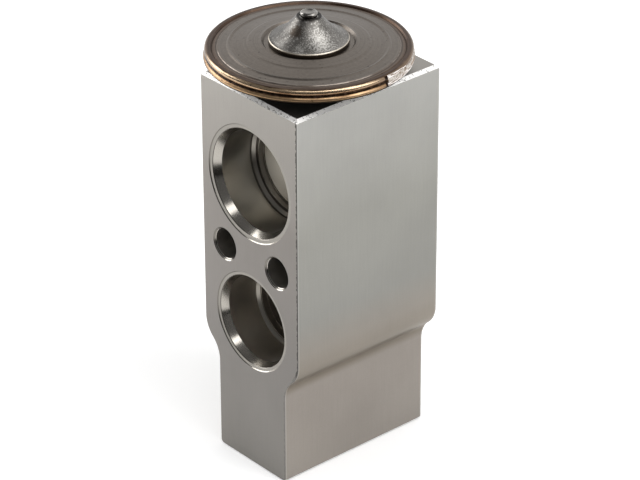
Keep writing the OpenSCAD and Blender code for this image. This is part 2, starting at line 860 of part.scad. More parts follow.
module adjusting_screw() {
    thread_top = screw_recess + screw_thread_length;
    pocket_floor = screw_top - spring_pocket_depth;
    edge = 0.4;
    color("#c3a45c") difference() {
        rotate_extrude() polygon([
            [0, screw_recess],
            [screw_thread_r - edge, screw_recess],
            [screw_thread_r, screw_recess + edge],
            [screw_thread_r, thread_top],
            [screw_land_r, thread_top],
            [screw_land_r, seal_groove_z],
            [seal_groove_r, seal_groove_z],
            [seal_groove_r, seal_groove_z + seal_groove_width],
            [screw_land_r, seal_groove_z + seal_groove_width],
            [screw_land_r, screw_top - edge],
            [screw_land_r - edge, screw_top],
            [spring_pocket_r, screw_top],
            [spring_pocket_r, pocket_floor],
            [0, pocket_floor]
        ]);
        translate([0, 0, screw_recess - over])
            cylinder(h = hex_depth + over, r = hex_width / sqrt(3), $fn = 6);
        translate([0, 0, screw_recess - over])
            cylinder(h = 0.4 + over, r1 = hex_width / sqrt(3) + over, r2 = hex_width / sqrt(3) - 0.4);
    }
}

module adjuster_seal() {
    seal_ring(
        seal_groove_r + screw_seal_section / 2,
        seal_groove_z + seal_groove_width / 2,
        screw_seal_section
    );
}

valve_body();
upper_case();
lower_case();
rim_weld();
diaphragm();
diaphragm_pad();
charge_cone();
sealing_pin();
head_seal();
sensing_rod();
push_pin();
rod_seal();
seal_washer();
seal_retainer();
valve_ball();
ball_cradle();
damper_ring();
superheat_spring();
adjusting_screw();
adjuster_seal();
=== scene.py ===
"""Looks of the block-type expansion valve: finishes, detailed pieces, studio and camera."""
import math

import bpy
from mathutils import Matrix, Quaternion, Vector


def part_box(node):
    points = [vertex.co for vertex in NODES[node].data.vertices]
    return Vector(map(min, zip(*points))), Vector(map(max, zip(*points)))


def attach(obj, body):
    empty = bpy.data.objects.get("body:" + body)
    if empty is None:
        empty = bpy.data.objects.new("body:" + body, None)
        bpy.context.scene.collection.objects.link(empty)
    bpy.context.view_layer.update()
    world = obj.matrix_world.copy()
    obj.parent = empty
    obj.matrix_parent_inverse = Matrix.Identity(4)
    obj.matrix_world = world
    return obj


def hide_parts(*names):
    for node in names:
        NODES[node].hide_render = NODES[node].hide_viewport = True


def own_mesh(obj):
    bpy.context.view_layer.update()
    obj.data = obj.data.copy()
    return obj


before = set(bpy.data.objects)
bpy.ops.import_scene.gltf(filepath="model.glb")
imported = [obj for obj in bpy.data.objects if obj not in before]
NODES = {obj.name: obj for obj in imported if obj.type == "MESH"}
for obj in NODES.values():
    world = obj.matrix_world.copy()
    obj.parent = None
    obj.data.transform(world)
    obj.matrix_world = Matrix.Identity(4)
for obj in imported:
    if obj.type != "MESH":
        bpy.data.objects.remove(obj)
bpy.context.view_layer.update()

MM = 0.001

# Sizes that the finishes follow, in millimetres, from the frame's nodes
body_low, body_high = (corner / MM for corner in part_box("valve_body"))
_, rim_high = (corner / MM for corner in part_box("lower_case"))
_, dome_high = (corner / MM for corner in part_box("upper_case"))
cone_low, cone_high = (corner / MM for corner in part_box("charge_cone"))
pin_low, _ = (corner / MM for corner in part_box("sealing_pin"))
weld_low, weld_high = (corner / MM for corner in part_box("rim_weld"))
spring_low, spring_high = (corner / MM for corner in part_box("superheat_spring"))
LOWER_LIP_R = rim_high.x
UPPER_LIP_R = dome_high.x
WELD_Z = (weld_low.z + weld_high.z) / 2
MIDDLE_Y = (body_low.y + body_high.y) / 2
HALF_DEPTH = (body_high.y - body_low.y) / 2
HALF_WIDTH = body_high.x

# The block's foot, its shoulders and its top chamfer
FOOT_HALF_WIDTH = 10.65
FOOT_HEIGHT = 20.5
FOOT_EDGE = 0.6
SHOULDER_TOP = 30.0
TOP_CHAMFER = 0.7
# The ports, by depth below the face: spot face, broken edge, conical lead-in, tube stop, passage
SPOT_FACE_DEPTH = 0.2
MOUTH_EDGE_DEPTH = 0.35
LEAD_IN_DEPTH = 1.95
STOP_DEPTH = 9.4
PASSAGE_DEPTH = 11.85
# Heights of the port axes, and the heights that part one port from the next
SUCTION_Z, OUTLET_Z, INLET_Z = 67.0, 34.5, 19.0
BETWEEN_FRONT, BETWEEN_REAR = 50.0, 40.0
SUCTION_STOP_R, OUTLET_STOP_R = 9.55, 8.55
# The bolt holes: their axes, half the square that holds one, and the depth of its countersink
BOLT_X, BOLT_Z = 8.3, 49.6
BOLT_REACH = 3.8
COUNTERSINK_DEPTH = 0.5
# How near to a face, and to the border of a zone, a point counts as on it
ON_FACE = 0.02
ON_BORDER = 0.03
# What a normal at 45 degrees has along an axis, and how far off it may be
DIAGONAL, DIAGONAL_MARGIN = math.sqrt(0.5), 0.1
# The 80 mm face mill's radius, and its feed marks' spacing, which is drawn wide enough to show
CUTTER_R = 40.0
FEED_MARK_PITCH = 0.55

# Heat tint: how far it reaches from the weld, and the middle of its gold on the lip, kept there as painted
# highlight, in degrees from +X
TINT_REACH = 4.0
GOLD_MIDDLE = -57.0
# Stretch of the rim where the weld runs out and no heat tint is left, in degrees from +X
SILVER_START, SILVER_END = 7.0, 48.0
SILVER_WOBBLE = 5.0
# How far the painted shade on the underside of the rim's lower lip starts below its top
RIM_UNDERSIDE = 0.8
# How far the pressed ring's foot and crest lie inside the upper lip's edge
RING_FOOT, RING_CREST = 2.35, 2.62
# Top of the cone's upright wall, above the underside of its hub
CONE_WALL_TOP = 1.75
# Marks on the cone: a painted sheen, a painted bright streak, the spark's stain, and a side darkened as
# painted shade
SHEEN_SPOT, SHEEN_STREAK, SPARK, SHADED_SIDE = (5.9, -1.9, 96.6), (3.8, -5.6, 95.4), (0.9, -4.2, 98.0), (-5.0, -4.5, 96.0)

# The range that a noise texture mostly keeps to
NOISE_LOW, NOISE_HIGH = 0.3, 0.7

# The photograph's view, in degrees and metres
CAMERA_AZIMUTH = 49.153
CAMERA_ELEVATION = 29.133
CAMERA_ROLL = -0.204
CAMERA_DISTANCE = 0.7153
CAMERA_AIM = Vector((-0.00238, 0.00481, 0.0453))
CAMERA_LENS = 190.78
# The studio: the lamps' distance and the paper's front edge in metres, and its levels of light
LAMP_DISTANCE = 0.8
PAPER_EDGE, PAPER_EDGE_END = 0.12, 0.14
FILL_LEVEL = 0.62
ROOM_DIMNESS = 0.86


def linear(code):
    """A colour written as sRGB hex, as the linear values that Blender works in."""
    channels = [int(code[i:i + 2], 16) / 255 for i in (1, 3, 5)]
    turned = [c / 12.92 if c <= 0.04045 else ((c + 0.055) / 1.055) ** 2.4 for c in channels]
    return (*turned, 1.0)


def result(node):
    """The output of a node that is in use."""
    return next(output for output in node.outputs if output.enabled)


def add(tree, kind, sockets=None, stops=None, **settings):
    """Adds a node. Each socket gets a number, a hex colour, another node or one of its outputs.

    Sockets go by name, or by number where names repeat: on MapRange 1 and 2 are the range that
    comes in and 3 and 4 the range that goes out, and on Mix 2 and 3 are values, 6 and 7 colours.
    """
    made = tree.nodes.new("ShaderNode" + kind)
    for name, value in settings.items():
        setattr(made, name, value)
    for key, source in (sockets or {}).items():
        if isinstance(source, bpy.types.Node):
            source = result(source)
        if isinstance(source, bpy.types.NodeSocket):
            tree.links.new(source, made.inputs[key])
        else:
            made.inputs[key].default_value = linear(source) if isinstance(source, str) else source
    if stops:
        ramp = made.color_ramp.elements
        for _ in stops[2:]:
            ramp.new(0.5)
        for element, (spot, code) in zip(ramp, stops):
            element.position = spot
            element.color = linear(code)
    return made


def start_material(name, **constants):
    """A material with its shader's fixed values set, and the object's own place in millimetres."""
    material = bpy.data.materials.new(name)
    material.use_nodes = True
    tree = material.node_tree
    for socket, value in constants.items():
        tree.nodes["Principled BSDF"].inputs[socket].default_value = value
    own = add(tree, "TexCoord").outputs["Object"]
    place = add(tree, "VectorMath", {0: own, 1: (1 / MM,) * 3}, operation="MULTIPLY")
    return material, tree, place


def finish_material(tree, colour, roughness, relief, strength, depth_mm, **others):
    """Joins colour, roughness, relief and any other value that varies to the shader."""
    bump = add(tree, "Bump", {"Strength": strength, "Distance": depth_mm * MM, "Height": relief})
    varying = {"Base Color": colour, "Roughness": roughness, "Normal": bump, **others}
    for socket, source in varying.items():
        tree.links.new(result(source), tree.nodes["Principled BSDF"].inputs[socket])


def put_on(material, *names):
    """Gives CAD nodes a finish in place of the one that they came with."""
    for name in names:
        mesh = NODES[name].data
        mesh.materials.clear()
        mesh.materials.append(material)


def paint(tree, colour, roughness, zones):
    """Lays zones over one another in turn: each one's mask, strength, colour and roughness, if any."""
    for mask, strength, tone, rough in zones:
        share = add(tree, "Math", {0: mask, 1: strength}, operation="MULTIPLY")
        colour = add(tree, "Mix", {0: share, 6: colour, 7: tone}, data_type="RGBA")
        if rough is not None:
            roughness = add(tree, "Mix", {0: mask, 2: roughness, 3: rough})
    return colour, roughness


def shaded(tree, colour, *textures):
    """Varies how light a colour is with noise textures, each by its own share either way."""
    for texture, share in textures:
        shade = add(tree, "MapRange", {0: texture, 1: NOISE_LOW, 2: NOISE_HIGH, 3: 1 - share, 4: 1 + share})
        colour = add(tree, "VectorMath", {0: colour, "Scale": shade}, operation="SCALE")
    return colour


def spot(tree, place, middle, solid_r, faded_r, level, rest=0.0):
    """A round spot: one level up to a distance from its middle, fading to the rest at another."""
    distance = add(tree, "VectorMath", {0: place, 1: middle}, operation="DISTANCE")
    return add(tree, "MapRange", {0: distance, 1: solid_r, 2: faded_r, 3: level, 4: rest})


def waves(tree, along, pitch):
    """A sine wave along a length in millimetres, from the spacing of its crests."""
    phase = add(tree, "Math", {0: along, 1: 2 * math.pi / pitch}, operation="MULTIPLY")
    return add(tree, "Math", {0: phase}, operation="SINE")


def angle_round_axis(tree, at):
    """The angle round the valve's axis, in degrees from +X."""
    angle = add(tree, "Math", {0: at["Y"], 1: at["X"]}, operation="ARCTAN2")
    return add(tree, "Math", {0: angle, 1: 180 / math.pi}, operation="MULTIPLY")


def block_faces(tree, at, facing):
    """Masks of the block's outer faces, its depth below the port faces, and its distance off the middle."""
    # Flanks and shoulders look outwards, past the foot's width, where the wall of a hole looks inwards
    across = add(tree, "Math", {0: at["X"]}, operation="ABSOLUTE")
    outward = add(tree, "Math", {0: at["X"], 1: facing["X"]}, operation="MULTIPLY")
    outward = add(tree, "Math", {0: outward, 1: 0.5}, operation="GREATER_THAN")
    wide = add(tree, "Math", {0: across, 1: FOOT_HALF_WIDTH - FOOT_EDGE}, operation="GREATER_THAN")
    flank = add(tree, "Math", {0: outward, 1: wide}, operation="MULTIPLY")
    off_middle = add(tree, "Math", {0: at["Y"], 1: MIDDLE_Y}, operation="SUBTRACT")
    off_middle = add(tree, "Math", {0: off_middle}, operation="ABSOLUTE")
    depth = add(tree, "Math", {0: HALF_DEPTH, 1: off_middle}, operation="SUBTRACT")
    port_face = add(tree, "Math", {0: depth, 1: ON_FACE}, operation="LESS_THAN")
    top = add(tree, "Math", {0: at["Z"], 1: body_high.z - ON_FACE}, operation="GREATER_THAN")
    under = add(tree, "Math", {0: at["Z"], 1: ON_FACE}, operation="LESS_THAN")
    milled = add(tree, "Math", {0: top, 1: under}, operation="MAXIMUM")
    milled = add(tree, "Math", {0: port_face, 1: milled}, operation="MAXIMUM")
    outside = add(tree, "Math", {0: flank, 1: milled}, operation="MAXIMUM")
    high = add(tree, "Math", {0: at["Z"], 1: body_high.z - TOP_CHAMFER + 0.01}, operation="GREATER_THAN")
    sloping = add(tree, "Math", {0: facing["Z"], 1: DIAGONAL, 2: DIAGONAL_MARGIN}, operation="COMPARE")
    chamfer = add(tree, "Math", {0: high, 1: sloping}, operation="MULTIPLY")
    inside = add(tree, "Math", {0: outside, 1: chamfer}, operation="MAXIMUM")
    inside = add(tree, "Math", {0: 1.0, 1: inside}, operation="SUBTRACT")
    return {"across": across, "depth": depth, "flank": flank, "port_face": port_face, "milled": milled,
            "outside": outside, "chamfer": chamfer, "inside": inside}


def hole_zones(tree, at, facing, faces):
    """The zones of the block's holes, by depth below the port face, each with its finish."""
    depth = faces["depth"]
    # Only the side of the spot face that doesn't look up is in shade
    shaded_side = add(tree, "Math", {0: facing["Z"], 1: 0.35}, operation="LESS_THAN")
    sunk_edge = add(tree, "Math", {0: depth, 1: SPOT_FACE_DEPTH - ON_BORDER}, operation="LESS_THAN")
    sunk_edge = add(tree, "Math", {0: sunk_edge, 1: shaded_side}, operation="MULTIPLY")
    spot_face = add(tree, "Math", {0: depth, 1: SPOT_FACE_DEPTH, 2: ON_BORDER}, operation="COMPARE")
    mouth_edge = add(tree, "Math", {0: depth, 1: (SPOT_FACE_DEPTH + MOUTH_EDGE_DEPTH) / 2 + 0.01, 2: 0.06},
                     operation="COMPARE")
    bored = add(tree, "Math", {0: depth, 1: LEAD_IN_DEPTH + ON_BORDER}, operation="GREATER_THAN")
    along = add(tree, "Math", {0: facing["Y"]}, operation="ABSOLUTE")
    bore_floor = add(tree, "Math", {0: along, 1: 0.95}, operation="GREATER_THAN")
    bore_floor = add(tree, "Math", {0: bore_floor, 1: bored}, operation="MULTIPLY")
    corner = add(tree, "Math", {0: along, 1: DIAGONAL, 2: DIAGONAL_MARGIN}, operation="COMPARE")
    corner = add(tree, "Math", {0: corner, 1: bored}, operation="MULTIPLY")
    below_stop = add(tree, "Math", {0: depth, 1: STOP_DEPTH}, operation="GREATER_THAN")
    in_stop = add(tree, "Math", {0: depth, 1: PASSAGE_DEPTH}, operation="LESS_THAN")
    in_stop = add(tree, "Math", {0: below_stop, 1: in_stop}, operation="MULTIPLY")

    # A painted highlight line round the tube stop, by distance from the port's axis
    front = add(tree, "Math", {0: at["Y"], 1: MIDDLE_Y}, operation="LESS_THAN")
    border = add(tree, "Mix", {0: front, 2: BETWEEN_REAR, 3: BETWEEN_FRONT})
    upper_port = add(tree, "Math", {0: at["Z"], 1: border}, operation="GREATER_THAN")
    lower_axis = add(tree, "Mix", {0: front, 2: INLET_Z, 3: OUTLET_Z})
    axis_z = add(tree, "Mix", {0: upper_port, 2: lower_axis, 3: SUCTION_Z})
    stop_r = add(tree, "Mix", {0: upper_port, 2: OUTLET_STOP_R, 3: SUCTION_STOP_R})
    off_axis = add(tree, "Math", {0: at["Z"], 1: axis_z}, operation="SUBTRACT")
    off_axis = add(tree, "CombineXYZ", {"X": at["X"], "Z": off_axis})
    from_axis = add(tree, "VectorMath", {0: off_axis}, operation="LENGTH")
    stop_highlight = add(tree, "Math", {0: from_axis, 1: stop_r, 2: 0.16}, operation="COMPARE")
    stop_highlight = add(tree, "Math", {0: stop_highlight, 1: bore_floor}, operation="MULTIPLY")
    lower_bore = add(tree, "Math", {0: bored, 1: upper_port}, operation="GREATER_THAN")

    # Drilled bolt holes, which are duller than the bores
    bolt_hole = add(tree, "Math", {0: at["Z"], 1: BOLT_Z, 2: BOLT_REACH}, operation="COMPARE")
    beside = add(tree, "Math", {0: faces["across"], 1: BOLT_X, 2: BOLT_REACH}, operation="COMPARE")
    drilled = add(tree, "Math", {0: depth, 1: COUNTERSINK_DEPTH}, operation="GREATER_THAN")
    for mask in (beside, drilled):
        bolt_hole = add(tree, "Math", {0: bolt_hole, 1: mask}, operation="MULTIPLY")

    # The tube stop's wall is darkened as painted shade, the passage past it lightened as painted light, and
    # the mouth's broken edge carries a dark line of painted shade
    zones = (
        (faces["inside"], 1.0, "#b4afa7", 0.19), (bored, 1.0, "#cbc7bf", 0.3),
        (below_stop, 1.0, "#c0bcb4", 0.35), (lower_bore, 1.0, "#d2ccc3", 0.34),
        (bolt_hole, 1.0, "#aeaaa3", 0.45), (in_stop, 0.9, "#7d7871", 0.35),
        (bore_floor, 1.0, "#6a655e", 0.4), (corner, 1.0, "#9d988f", 0.3),
        (stop_highlight, 0.9, "#d0cdc6", 0.25), (mouth_edge, 0.85, "#4c4843", 0.25),
        (spot_face, 1.0, "#9a968f", 0.36), (sunk_edge, 0.7, "#55514c", 0.3))
    return [(add(tree, "Math", {0: mask, 1: faces["inside"]}, operation="MULTIPLY"), *finish)
            for mask, *finish in zones]


def edge_zones(tree, at, facing, place, faces):
    """The block's top chamfer and cut edges, each with its finish."""
    # Chatter marks across the top chamfer, about 1 mm apart, and thicker to the right in front
    chatter = add(tree, "TexNoise", {"Vector": place, "Scale": 1.6, "Detail": 3.0, "Roughness": 0.7})
    worn = add(tree, "MapRange", {0: at["X"], 1: -HALF_WIDTH, 2: -0.3 * HALF_WIDTH, 3: 0.38, 4: 0.41})
    in_front = add(tree, "Math", {0: facing["Y"], 1: -0.5}, operation="LESS_THAN")
    worn = add(tree, "Mix", {0: in_front, 2: 0.4, 3: worn})
    nicks = add(tree, "Math", {0: chatter, 1: worn}, operation="LESS_THAN")
    nicks = add(tree, "Math", {0: nicks, 1: faces["chamfer"]}, operation="MULTIPLY")

    # A dark dashed line on the faces, on the right and above the shoulder, is painted shade of the last cut's
    # burr
    outline = add(tree, "MapRange", {0: at["Z"], 1: FOOT_HEIGHT, 2: SHOULDER_TOP, 3: FOOT_HALF_WIDTH,
                                     4: HALF_WIDTH}, interpolation_type="SMOOTHSTEP")
    to_edge = add(tree, "Math", {0: outline, 1: faces["across"]}, operation="SUBTRACT")
    dashes = add(tree, "TexNoise", {"Vector": place, "Scale": 1.1, "Detail": 2.0})
    ragged = add(tree, "MapRange", {0: dashes, 1: 0.35, 2: 0.6, 3: 0.2, 4: 0.5})
    face_edge_shade = add(tree, "Math", {0: to_edge, 1: ragged}, operation="LESS_THAN")
    burr_shade_fade = add(tree, "MapRange", {0: at["Z"], 1: SHOULDER_TOP - 3.0, 2: SHOULDER_TOP - 2.0, 3: 0.3, 4: 1.0})
    right = add(tree, "Math", {0: at["X"], 1: 0.0}, operation="GREATER_THAN")
    for mask in (faces["port_face"], burr_shade_fade, right):
        face_edge_shade = add(tree, "Math", {0: face_edge_shade, 1: mask}, operation="MULTIPLY")
    # On the flanks the edge is a bright line, a painted highlight
    flank_edge_highlight = add(tree, "Math", {0: faces["depth"], 1: 0.3}, operation="LESS_THAN")
    flank_edge_highlight = add(tree, "Math", {0: flank_edge_highlight, 1: faces["flank"]}, operation="MULTIPLY")
    return [(faces["chamfer"], 1.0, "#fbf9f6", 0.3), (nicks, 0.7, "#5a5752", 0.3),
            (face_edge_shade, 0.85, "#3b3935", 0.4), (flank_edge_highlight, 0.3, "#c0bfba", 0.4)]


def satin_tones(tree, at, faces):
    """Tones of the block's satin faces from foot to top, lighter towards the top as painted light and with a
    dark band in the shoulder's concave curve as painted shade, and from front to rear and left to right.
    """
    height = add(tree, "MapRange", {0: at["Z"], 1: 0.0, 2: body_high.z})
    # Both tones grow lighter towards the top as painted light; the flank's dark band in the shoulder's
    # concave curve is painted shade
    flank_tone = add(tree, "ValToRGB", {0: height}, stops=[
        (0.0, "#98928b"), (0.24, "#98918a"), (0.264, "#80776a"), (0.3, "#8f877c"), (0.37, "#979189"),
        (0.46, "#94938e"), (0.7, "#9a9993"), (1.0, "#afaeaa")])
    face_tone = add(tree, "ValToRGB", {0: height}, stops=[
        (0.0, "#888580"), (0.35, "#8b8783"), (0.7, "#928d88"), (1.0, "#a9a59f")])
    colour = add(tree, "Mix", {0: faces["flank"], 6: face_tone, 7: flank_tone}, data_type="RGBA")
    far = add(tree, "MapRange", {0: at["Y"], 1: body_low.y, 2: body_high.y, 3: 1.05, 4: 0.97})
    aside = add(tree, "MapRange", {0: at["X"], 1: -HALF_WIDTH, 2: HALF_WIDTH, 3: 0.98, 4: 0.86})
    aside = add(tree, "Mix", {0: faces["flank"], 2: aside, 3: 1.0})
    for level in (far, aside):
        colour = add(tree, "VectorMath", {0: colour, "Scale": level}, operation="SCALE")
    return colour


def feed_marks(tree, at, place, faces):
    """Arcs that the face mill left, in patches, drawn wide enough apart to show."""
    square = add(tree, "Math", {0: at["X"], 1: at["X"]}, operation="MULTIPLY")
    reach = add(tree, "Math", {0: CUTTER_R ** 2, 1: square}, operation="SUBTRACT")
    reach = add(tree, "Math", {0: reach}, operation="SQRT")
    swept = add(tree, "Math", {0: at["Z"], 1: reach}, operation="ADD")
    marks = waves(tree, swept, FEED_MARK_PITCH)
    patch = add(tree, "TexNoise", {"Vector": place, "Scale": 0.07, "Detail": 1.0})
    patch = add(tree, "MapRange", {0: patch, 1: 0.45, 2: 0.65})
    for mask in (patch, faces["milled"]):
        marks = add(tree, "Math", {0: marks, 1: mask}, operation="MULTIPLY")
    return marks


def machined_aluminium():
    """Wrought aluminium alloy: satin drawn flanks, fly-cut faces with faint arcs, a bright chamfer.

    The ports have polished lead-ins and reamed bores.
    """
    material, tree, place = start_material("machined_aluminium", Metallic=1.0)
    at = add(tree, "SeparateXYZ", {0: place}).outputs
    facing = add(tree, "SeparateXYZ", {0: add(tree, "TexCoord").outputs["Normal"]}).outputs
    faces = block_faces(tree, at, facing)

    # Faint upright streaks of the flanks, 0.5 mm wide and about 8 mm long
    stretched = add(tree, "Mapping", {"Vector": place, "Scale": (2.0, 2.0, 0.12)})
    streaks = add(tree, "TexNoise", {"Vector": stretched, "Scale": 1.0, "Detail": 4.0, "Roughness": 0.6})
    # Blasting and oxide leave a fine grain, drawn at 0.25 mm so that it shows
    grain = add(tree, "TexNoise", {"Vector": place, "Scale": 4.0, "Detail": 2.0})
    drift = add(tree, "TexNoise", {"Vector": place, "Scale": 0.05, "Detail": 3.0})
    colour = shaded(tree, satin_tones(tree, at, faces), (drift, 0.06), (streaks, 0.03), (grain, 0.02))
    roughness = add(tree, "MapRange", {0: streaks, 3: 0.36, 4: 0.48})
    zones = hole_zones(tree, at, facing, faces) + edge_zones(tree, at, facing, place, faces)
    colour, roughness = paint(tree, colour, roughness, zones)

    # Streaks stand out on the flanks, feed marks on the milled faces, and grain on both
    relief = add(tree, "Math", {0: faces["flank"], 1: 0.5}, operation="MULTIPLY")
    relief = add(tree, "Math", {0: streaks, 1: relief}, operation="MULTIPLY")
    marks = feed_marks(tree, at, place, faces)
    relief = add(tree, "Math", {0: marks, 1: 0.25, 2: relief}, operation="MULTIPLY_ADD")
    satin = add(tree, "Math", {0: faces["outside"], 1: 0.2}, operation="MULTIPLY")
    relief = add(tree, "Math", {0: grain, 1: satin, 2: relief}, operation="MULTIPLY_ADD")
    # The chamfer's torn surface scatters light as frosted metal does
    metal = add(tree, "Math", {0: faces["chamfer"], 1: -0.7, 2: 1.0}, operation="MULTIPLY_ADD")
    finish_material(tree, colour, roughness, relief, 0.25, 0.02, Metallic=metal)
    return material


def silver_stretch(tree, at, radius, angle, blotch):
    """Masks of the rim's stretch without tint and of the notch before it, and its scraped metal."""
    along = add(tree, "Math", {0: angle, 1: UPPER_LIP_R * math.pi / 180 * 0.45}, operation="MULTIPLY")
    over = add(tree, "Math", {0: radius, 1: at["Z"]}, operation="SUBTRACT")
    over = add(tree, "Math", {0: over, 1: 3.2}, operation="MULTIPLY")
    scraped = add(tree, "CombineXYZ", {"X": along, "Y": over})
    scraped = add(tree, "TexNoise", {"Vector": scraped, "Scale": 1.0, "Detail": 3.0, "Roughness": 0.6})
    bright = add(tree, "ValToRGB", {0: scraped}, stops=[
        (0.36, "#5a4636"), (0.45, "#a39589"), (0.53, "#efe8e2"), (0.7, "#ffffff")])
    # It narrows towards its far end
    wobble = add(tree, "Math", {0: blotch, 1: SILVER_WOBBLE, 2: angle}, operation="MULTIPLY_ADD")
    inner_side = add(tree, "MapRange", {0: wobble, 1: SILVER_START, 2: SILVER_END, 3: LOWER_LIP_R - 0.55,
                                        4: LOWER_LIP_R + 0.05})
    outer = add(tree, "Math", {0: radius, 1: inner_side}, operation="GREATER_THAN")
    after = add(tree, "Math", {0: wobble, 1: SILVER_START + SILVER_WOBBLE / 2}, operation="GREATER_THAN")
    before = add(tree, "Math", {0: wobble, 1: SILVER_END + SILVER_WOBBLE / 2}, operation="LESS_THAN")
    bare = add(tree, "Math", {0: after, 1: before}, operation="MULTIPLY")
    bare = add(tree, "Math", {0: outer, 1: bare}, operation="MULTIPLY")
    notch = add(tree, "Math", {0: wobble, 1: SILVER_START + 1.4, 2: 1.1}, operation="COMPARE")
    notch = add(tree, "Math", {0: notch, 1: outer}, operation="MULTIPLY")
    return bare, notch, bright


def tinted_steel(name, inner_tone, edge_tone, lip_tone, lip_roughness, scorch):
    """Pressed stainless steel with weld heat tint: brown at the weld, gold on the lip, fading inwards.

    One stretch is bare. The scorched band's width is given as a share of its width on the upper lip.
    """
    material, tree, place = start_material(name, Metallic=1.0)
    at = add(tree, "SeparateXYZ", {0: place}).outputs
    flat = add(tree, "CombineXYZ", {"X": at["X"], "Y": at["Y"]})
    radius = add(tree, "VectorMath", {0: flat}, operation="LENGTH")
    angle = angle_round_axis(tree, at)
    blotch = add(tree, "TexNoise", {"Vector": place, "Scale": 0.35, "Detail": 4.0})

    # The tint follows the distance from the weld, with an uneven border
    off_weld = add(tree, "CombineXYZ", {
        "X": add(tree, "Math", {0: radius, 1: LOWER_LIP_R}, operation="SUBTRACT"),
        "Y": add(tree, "Math", {0: at["Z"], 1: WELD_Z}, operation="SUBTRACT")})
    distance = add(tree, "VectorMath", {0: off_weld}, operation="LENGTH")
    uneven = add(tree, "Math", {0: blotch, 1: 0.7, 2: -0.35}, operation="MULTIPLY_ADD")
    uneven = add(tree, "Math", {0: distance, 1: uneven}, operation="ADD")
    spread = add(tree, "MapRange", {0: uneven, 1: 0.0, 2: TINT_REACH})
    tint = add(tree, "ValToRGB", {0: spread}, stops=[
        (0.0, "#1b120b"), (0.07 * scorch, "#2c1d12"), (0.11 * scorch, "#503b2a"),
        (0.16 * scorch, edge_tone), (0.21 * scorch, lip_tone), (0.33, lip_tone), (0.39, "#3d2e23"),
        (0.5, "#4f4036"), (0.64, "#64564b"), (0.85, inner_tone)])
    # The heat tint's gold is kept to the front half of the lip as painted highlight, and goes brown towards
    # the back and before the notch as painted shade
    off_gold = add(tree, "Math", {0: angle, 1: GOLD_MIDDLE}, operation="SUBTRACT")
    off_gold = add(tree, "Math", {0: off_gold}, operation="ABSOLUTE")
    off_gold = add(tree, "Math", {0: blotch, 1: 24.0, 2: off_gold}, operation="MULTIPLY_ADD")
    lip_shade = add(tree, "MapRange", {0: off_gold, 1: 58.0, 2: 76.0, 3: 0.0, 4: 0.8})
    on_lip = add(tree, "Math", {0: spread, 1: 0.26, 2: 0.15}, operation="COMPARE")
    lip_shade = add(tree, "Math", {0: lip_shade, 1: on_lip}, operation="MULTIPLY")
    bare, notch, bright = silver_stretch(tree, at, radius, angle, blotch)
    # Painted shade darkens the underside of the lower lip
    underside = rim_high.z - RIM_UNDERSIDE
    underside_shade = add(tree, "MapRange", {0: at["Z"], 1: underside, 2: underside + 0.12, 3: 0.9, 4: 0.0})
    # The pressed ring inside the lip has painted shade in its foot, and a painted highlight along its crest
    # in patches
    foot = add(tree, "Math", {0: radius, 1: UPPER_LIP_R - RING_FOOT, 2: 0.13}, operation="COMPARE")
    crest = add(tree, "Math", {0: radius, 1: UPPER_LIP_R - RING_CREST, 2: 0.1}, operation="COMPARE")
    patches = add(tree, "MapRange", {0: blotch, 1: 0.45, 2: 0.6, 3: 0.05, 4: 0.5})
    crest = add(tree, "Math", {0: crest, 1: patches}, operation="MULTIPLY")
    roughness = add(tree, "MapRange", {0: spread, 1: 0.34, 2: 0.42, 3: lip_roughness, 4: 0.36})
    colour, roughness = paint(tree, tint, roughness, (
        (lip_shade, 1.0, "#56453a", None), (bare, 1.0, bright, None), (notch, 1.0, "#24170f", None),
        (underside_shade, 1.0, "#120d09", 0.9), (foot, 0.6, "#3a332d", None), (crest, 1.0, "#aca29a", None)))

    # Rings of the press tool and of polishing, 0.3 to 1 mm apart
    rings = add(tree, "CombineXYZ", {"X": radius})
    rings = add(tree, "TexNoise", {"Vector": rings, "Scale": 2.6, "Detail": 5.0})
    stipple = add(tree, "TexNoise", {"Vector": place, "Scale": 1.6, "Detail": 4.0, "Roughness": 0.7})
    colour = shaded(tree, colour, (rings, 0.14), (stipple, 0.12))
    specks = add(tree, "TexNoise", {"Vector": place, "Scale": 1.3, "Detail": 1.0})
    specks = add(tree, "MapRange", {0: specks, 1: 0.25, 2: 0.29, 3: 0.55, 4: 1.0})
    colour = add(tree, "VectorMath", {0: colour, "Scale": specks}, operation="SCALE")
    # The lips are slightly wavy from the welding rollers, about every 2 mm
    wavy = add(tree, "TexNoise", {"Vector": place, "Scale": 0.6, "Detail": 2.0})
    relief = add(tree, "Math", {0: wavy, 1: 3.0, 2: rings}, operation="MULTIPLY_ADD")
    finish_material(tree, colour, roughness, relief, 0.3, 0.03)
    return material


def welded_bead():
    """Fused stainless weld metal: near black with oxide, with brown and blue temper colours.

    It is bare and bright where the weld runs out.
    """
    material, tree, place = start_material("welded_bead", Metallic=1.0)
    oxide = add(tree, "TexNoise", {"Vector": place, "Scale": 1.2, "Detail": 5.0})
    dark = add(tree, "ValToRGB", {0: oxide}, stops=[
        (0.3, "#19120c"), (0.5, "#2a1e14"), (0.62, "#48362a"), (0.75, "#34343c")])
    bright = add(tree, "ValToRGB", {0: oxide}, stops=[(0.4, "#8d7c6d"), (0.55, "#cfc9c1")])
    angle = angle_round_axis(tree, add(tree, "SeparateXYZ", {0: place}).outputs)
    bare = add(tree, "Math", {0: angle, 1: (SILVER_START + SILVER_END) / 2,
                              2: (SILVER_END - SILVER_START) / 2}, operation="COMPARE")
    colour = add(tree, "Mix", {0: bare, 6: dark, 7: bright}, data_type="RGBA")
    roughness = add(tree, "MapRange", {0: oxide, 3: 0.22, 4: 0.42})
    finish_material(tree, colour, roughness, oxide, 0.3, 0.03)
    return material


